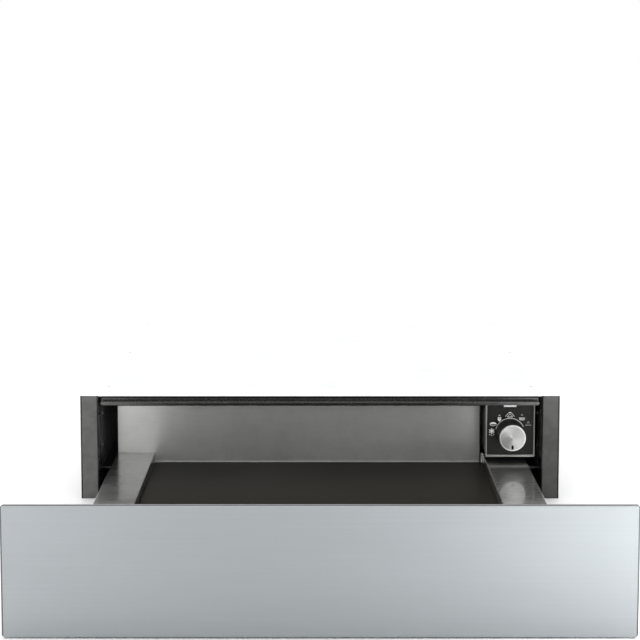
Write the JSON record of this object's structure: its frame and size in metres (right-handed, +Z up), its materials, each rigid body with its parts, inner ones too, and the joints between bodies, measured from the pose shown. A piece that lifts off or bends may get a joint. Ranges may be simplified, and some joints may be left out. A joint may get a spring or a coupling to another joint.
{
  "type": "warming drawer",
  "caption": "Built-in warming drawer: a plain steel front and a heated glass tray on full-extension slides, in a low steel carcass with a dial behind the front.",
  "frame": {"origin": "middle of the carcass underside, on the surface it rests on", "axes": "+X to the right seen from the front, +Y from the front to the back, +Z up"},
  "size_m": [0.597, 0.9575, 0.1282],
  "materials": {
    "carcass_steel": "bright zinc outside, dark lining coat inside",
    "frame_paint": "dark grey metallic coat, satin",
    "front_steel": "fine satin steel",
    "tray_steel": "steel brushed across",
    "slide_steel": "black zinc, satin",
    "ball_steel": "polished balls in a zinc cage",
    "screw_steel": "zinc-plated",
    "black_plastic": "fine matt",
    "fascia_black": "satin gloss",
    "bezel_metal": "dark anodised",
    "dial_metal": "spun face",
    "lens_white": "opal",
    "lamp_amber": "clear amber",
    "pale_plastic": "heat-proof moulding",
    "loom_black": "matt sleeve",
    "lead_white": "silicone sleeve",
    "base_glass": "dark, opaque, smooth",
    "spreader_metal": "rolled sheet",
    "cord_red": "silicone heating cord",
    "wool": "mineral wool",
    "core_board": "honeycomb board",
    "pan_metal": "rolled sheet",
    "rubber_black": "matt",
    "spring_wire": "spring wire"
  },
  "bodies": {
    "root": {"housing_floor": "carcass_steel", "housing_left_side": "carcass_steel", "housing_right_side": "carcass_steel", "housing_back": "carcass_steel", "housing_roof": "carcass_steel", "housing_screws": "screw_steel", "left_post": "frame_paint", "right_post": "frame_paint", "post_screws": "screw_steel", "top_rail": "frame_paint", "bottom_rail": "frame_paint", "slide_left_spacer": "carcass_steel", "slide_right_spacer": "carcass_steel", "slide_left_outer": "slide_steel", "slide_right_outer": "slide_steel", "slide_housing_screws": "screw_steel", "control_box": "carcass_steel", "control_fascia": "fascia_black", "control_bezel": "bezel_metal", "pilot_lens": "lens_white", "pilot_lamp": "lamp_amber", "thermostat": "pale_plastic", "terminal_block": "pale_plastic", "cable_gland": "black_plastic", "wire_loom": "loom_black", "heater_lead": "lead_white", "latch_body": "black_plastic", "latch_spring": "spring_wire"},
    "drawer": {"slide_left_inner": "slide_steel", "slide_right_inner": "slide_steel", "slide_drawer_screws": "screw_steel", "lead_connector": "pale_plastic", "front_skin": "front_steel", "front_core": "core_board", "front_backing": "frame_paint", "front_left_bracket": "carcass_steel", "front_right_bracket": "carcass_steel", "front_buffers": "rubber_black", "drawer_screws": "screw_steel", "drawer_tray": "tray_steel", "drawer_back_wall": "tray_steel", "glass_base": "base_glass", "glass_retainer": "tray_steel", "heater_plate": "spreader_metal", "heater_cord": "cord_red", "insulation_pad": "wool", "tray_underpan": "pan_metal", "thermal_cutout": "pale_plastic"},
    "dial": {"dial_body": "black_plastic", "dial_face": "dial_metal", "dial_spindle": "screw_steel"},
    "plunger": {"latch_plunger": "pale_plastic"},
    "left_middle": {"slide_left_middle": "slide_steel"},
    "right_middle": {"slide_right_middle": "slide_steel"},
    "left_outer_cage": {"slide_left_outer_cage": "ball_steel"},
    "right_outer_cage": {"slide_right_outer_cage": "ball_steel"},
    "left_inner_cage": {"slide_left_inner_cage": "ball_steel"},
    "right_inner_cage": {"slide_right_inner_cage": "ball_steel"}
  },
  "joints": [
    {"name": "drawer_slide", "type": "slide", "parent": "root", "child": "drawer", "axis": [0, -1, 0], "range_m": [-0.4115, 0.0385], "deforming": ["heater_lead"]},
    {"name": "dial_turn", "type": "hinge", "parent": "root", "child": "dial", "pos_m": [0.23635, -0.23, 0.0741], "axis": [0, 1, 0], "range_deg": [0, 245]},
    {"name": "latch_push", "type": "slide", "parent": "root", "child": "plunger", "axis": [0, 1, 0], "range_m": [0, 0.006], "stiffness_N_per_m": 300, "deforming": ["latch_spring"]},
    {"name": "left_middle_slide", "type": "slide", "parent": "root", "child": "left_middle", "axis": [0, -1, 0], "range_m": [-0.20575, 0.01925]},
    {"name": "right_middle_slide", "type": "slide", "parent": "root", "child": "right_middle", "axis": [0, -1, 0], "range_m": [-0.20575, 0.01925]},
    {"name": "left_outer_cage_slide", "type": "slide", "parent": "root", "child": "left_outer_cage", "axis": [0, -1, 0], "range_m": [-0.10287, 0.00962]},
    {"name": "right_outer_cage_slide", "type": "slide", "parent": "root", "child": "right_outer_cage", "axis": [0, -1, 0], "range_m": [-0.10287, 0.00962]},
    {"name": "left_inner_cage_slide", "type": "slide", "parent": "root", "child": "left_inner_cage", "axis": [0, -1, 0], "range_m": [-0.30862, 0.02888]},
    {"name": "right_inner_cage_slide", "type": "slide", "parent": "root", "child": "right_inner_cage", "axis": [0, -1, 0], "range_m": [-0.30862, 0.02888]}
  ],
  "couplings": [
    {"joint": "left_middle_slide", "follows": "drawer_slide", "ratio": 0.5},
    {"joint": "right_middle_slide", "follows": "drawer_slide", "ratio": 0.5},
    {"joint": "left_outer_cage_slide", "follows": "drawer_slide", "ratio": 0.25},
    {"joint": "right_outer_cage_slide", "follows": "drawer_slide", "ratio": 0.25},
    {"joint": "left_inner_cage_slide", "follows": "drawer_slide", "ratio": 0.75},
    {"joint": "right_inner_cage_slide", "follows": "drawer_slide", "ratio": 0.75}
  ]
}
